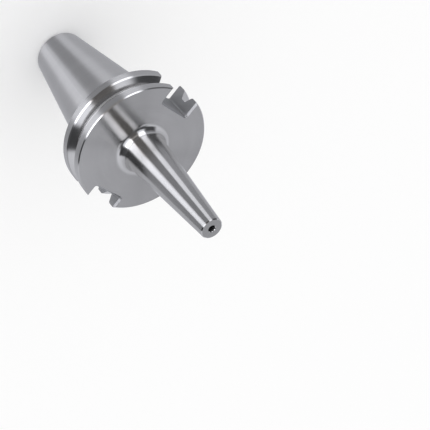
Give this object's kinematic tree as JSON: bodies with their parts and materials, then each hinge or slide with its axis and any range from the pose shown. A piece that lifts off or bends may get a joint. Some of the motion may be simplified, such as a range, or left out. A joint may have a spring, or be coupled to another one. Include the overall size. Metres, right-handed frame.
{
  "type": "shrink fit tool holder",
  "caption": "Steel shrink fit tool holder with a steep taper shank, a V-flange with drive slots and a slim tapered nose with a small tool bore.",
  "frame": {"origin": "on the axis at the gauge line, where the steep taper measures 44.45 mm across", "axes": "+Z along the axis towards the nose, +Y towards the shallower drive slot, -Y towards the deeper one"},
  "size_m": [0.0636, 0.0614, 0.1483],
  "materials": {
    "steel": "ground taper, fine turned flange and polished nose, with milled slots"
  },
  "bodies": {
    "root": {"holder_body": "steel"}
  },
  "joints": []
}
